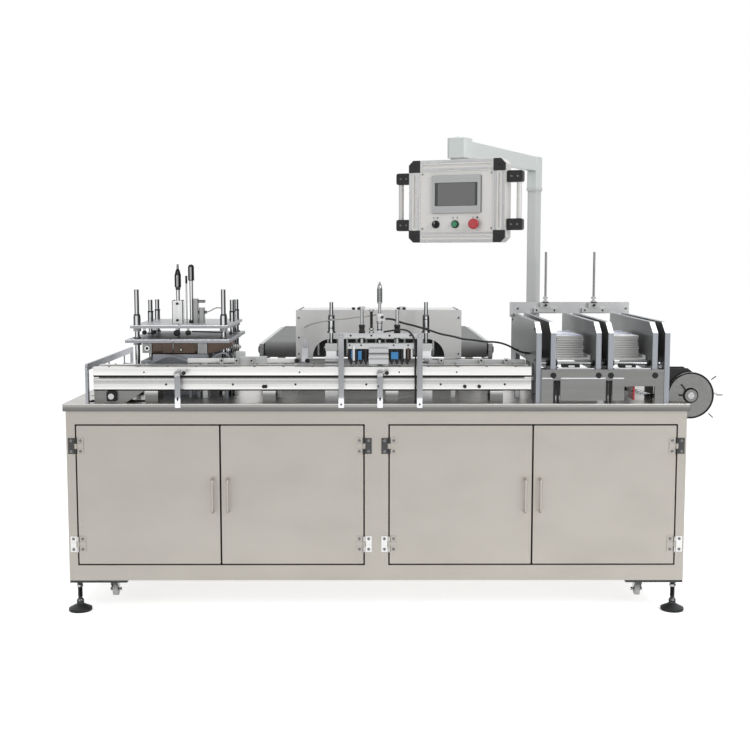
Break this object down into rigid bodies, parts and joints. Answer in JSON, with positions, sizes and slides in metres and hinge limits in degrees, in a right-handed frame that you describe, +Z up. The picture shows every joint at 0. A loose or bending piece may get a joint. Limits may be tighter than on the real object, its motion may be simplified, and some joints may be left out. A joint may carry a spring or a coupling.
{
  "type": "vacuum bagging machine",
  "caption": "Long stainless cabinet and table with a flight conveyor, rear infeed belt under an arched housing, bag magazines, sealing press and swinging control panel.",
  "frame": {"origin": "centre of the underside of the front left levelling foot, on the floor", "axes": "+X along the machine to its right as seen from the door side, +Y towards the back, +Z up"},
  "size_m": [2.567, 1.9292, 1.858],
  "materials": {
    "table_steel": "brushed",
    "cabinet_steel": "fine brushed",
    "dark_steel": "satin",
    "black_steel": "satin",
    "hinge_steel": "polished",
    "chrome": "polished",
    "aluminium": "anodised",
    "dark_aluminium": "anodised",
    "white_nylon": "satin",
    "white_plastic": "satin",
    "white_paint": "satin",
    "belt_grey": "matt",
    "clear_tube": "clear",
    "black_rubber": "satin",
    "grey_block": "machined",
    "brown_cloth": "coated cloth",
    "bag_paper": "smooth",
    "black_plastic": "satin",
    "green_plastic": "gloss",
    "red_plastic": "gloss"
  },
  "bodies": {
    "machine": {"table_top": "table_steel", "base_frame": "cabinet_steel", "cabinet_panels": "cabinet_steel", "corner_plates": "dark_steel", "levelling_feet": "dark_steel", "frame_hinges": "hinge_steel", "guard_rail": "aluminium", "conveyor_frame": "aluminium", "conveyor_ends": "aluminium", "conveyor_bearings": "black_steel", "flight_chain": "hinge_steel", "conveyor_shafts": "hinge_steel", "front_posts": "aluminium", "press_columns": "chrome", "press_top_plate": "aluminium", "press_nest": "dark_aluminium", "press_cylinders": "aluminium", "belt_frame": "aluminium", "rear_belt": "belt_grey", "arch_housing": "white_paint", "head_guides": "chrome", "head_beam": "aluminium", "head_cylinder": "aluminium", "magazine_ends": "dark_aluminium", "magazine_sides": "dark_aluminium", "magazine_rods": "chrome", "magazine_crossbar": "aluminium", "bag_trays": "white_plastic", "bag_stacks": "bag_paper", "hmi_post": "aluminium", "press_hose": "clear_tube", "head_hose": "clear_tube", "head_cable": "black_rubber", "beam_cable": "black_rubber", "press_fittings": "black_plastic"},
    "door_1_body": {"door_1": "cabinet_steel"},
    "door_2_body": {"door_2": "cabinet_steel"},
    "door_3_body": {"door_3": "cabinet_steel"},
    "door_4_body": {"door_4": "cabinet_steel"},
    "caster_swivel_1": {"caster_fork_1": "hinge_steel"},
    "caster_swivel_2": {"caster_fork_2": "hinge_steel"},
    "caster_swivel_3": {"caster_fork_3": "hinge_steel"},
    "caster_swivel_4": {"caster_fork_4": "hinge_steel"},
    "caster_roller_1": {"caster_wheel_1": "white_nylon"},
    "caster_roller_2": {"caster_wheel_2": "white_nylon"},
    "caster_roller_3": {"caster_wheel_3": "white_nylon"},
    "caster_roller_4": {"caster_wheel_4": "white_nylon"},
    "end_wheel_body": {"end_wheel": "hinge_steel"},
    "press_body": {"press_platen": "aluminium", "seal_bars": "brown_cloth", "seal_blocks": "grey_block"},
    "head_body": {"moving_head": "aluminium", "head_grippers": "black_steel"},
    "arm_body": {"hmi_arm": "white_paint"},
    "panel_body": {"hmi_case": "aluminium", "hmi_screen": "black_plastic", "hmi_mouldings": "black_plastic"},
    "selector_body": {"selector_knob": "black_plastic"},
    "start_body": {"start_button": "green_plastic"},
    "stop_body": {"stop_button": "red_plastic"}
  },
  "joints": [
    {"name": "door_1_hinge", "type": "hinge", "parent": "machine", "child": "door_1_body", "pos_m": [0.007, -0.043, 0.4725], "axis": [0, 0, -1], "range_deg": [0, 170]},
    {"name": "door_2_hinge", "type": "hinge", "parent": "machine", "child": "door_2_body", "pos_m": [1.131, -0.043, 0.4725], "axis": [0, 0, 1], "range_deg": [0, 90]},
    {"name": "door_3_hinge", "type": "hinge", "parent": "machine", "child": "door_3_body", "pos_m": [1.229, -0.043, 0.4725], "axis": [0, 0, -1], "range_deg": [0, 90]},
    {"name": "door_4_hinge", "type": "hinge", "parent": "machine", "child": "door_4_body", "pos_m": [2.353, -0.043, 0.4725], "axis": [0, 0, 1], "range_deg": [0, 170]},
    {"name": "caster_1_swivel", "type": "hinge", "parent": "machine", "child": "caster_swivel_1", "pos_m": [0.128, 0.05, 0.1], "axis": [0, 0, 1], "continuous": true},
    {"name": "caster_1_roll", "type": "hinge", "parent": "caster_swivel_1", "child": "caster_roller_1", "pos_m": [0.128, 0.072, 0.066], "axis": [1, 0, 0], "continuous": true},
    {"name": "caster_2_swivel", "type": "hinge", "parent": "machine", "child": "caster_swivel_2", "pos_m": [2.232, 0.05, 0.1], "axis": [0, 0, 1], "continuous": true},
    {"name": "caster_2_roll", "type": "hinge", "parent": "caster_swivel_2", "child": "caster_roller_2", "pos_m": [2.232, 0.072, 0.066], "axis": [1, 0, 0], "continuous": true},
    {"name": "caster_3_swivel", "type": "hinge", "parent": "machine", "child": "caster_swivel_3", "pos_m": [0.128, 0.85, 0.1], "axis": [0, 0, 1], "continuous": true},
    {"name": "caster_3_roll", "type": "hinge", "parent": "caster_swivel_3", "child": "caster_roller_3", "pos_m": [0.128, 0.872, 0.066], "axis": [1, 0, 0], "continuous": true},
    {"name": "caster_4_swivel", "type": "hinge", "parent": "machine", "child": "caster_swivel_4", "pos_m": [2.232, 0.85, 0.1], "axis": [0, 0, 1], "continuous": true},
    {"name": "caster_4_roll", "type": "hinge", "parent": "caster_swivel_4", "child": "caster_roller_4", "pos_m": [2.232, 0.872, 0.066], "axis": [1, 0, 0], "continuous": true},
    {"name": "end_wheel_turn", "type": "hinge", "parent": "machine", "child": "end_wheel_body", "pos_m": [2.412, 0.004, 0.861], "axis": [0, 1, 0], "continuous": true},
    {"name": "press_lift", "type": "slide", "parent": "machine", "child": "press_body", "axis": [0, 0, 1], "range_m": [0, 0.025]},
    {"name": "head_lift", "type": "slide", "parent": "machine", "child": "head_body", "axis": [0, 0, 1], "range_m": [0, 0.015]},
    {"name": "arm_swing", "type": "hinge", "parent": "machine", "child": "arm_body", "pos_m": [1.902, 0.83, 1.79], "axis": [0, 0, 1], "range_deg": [-60, 60]},
    {"name": "panel_turn", "type": "hinge", "parent": "arm_body", "child": "panel_body", "pos_m": [1.502, 0.028, 1.776], "axis": [0, 0, 1], "range_deg": [-80, 80]},
    {"name": "selector_turn", "type": "hinge", "parent": "panel_body", "child": "selector_body", "pos_m": [1.40826, 0.00417, 1.5265], "axis": [-0.4067, -0.9135, 0], "range_deg": [-45, 45]},
    {"name": "start_push", "type": "slide", "parent": "panel_body", "child": "start_body", "axis": [0.4067, 0.9135, 0], "range_m": [0, 0.004], "stiffness_N_per_m": 500},
    {"name": "stop_push", "type": "slide", "parent": "panel_body", "child": "stop_body", "axis": [0.4067, 0.9135, 0], "range_m": [0, 0.004]}
  ]
}
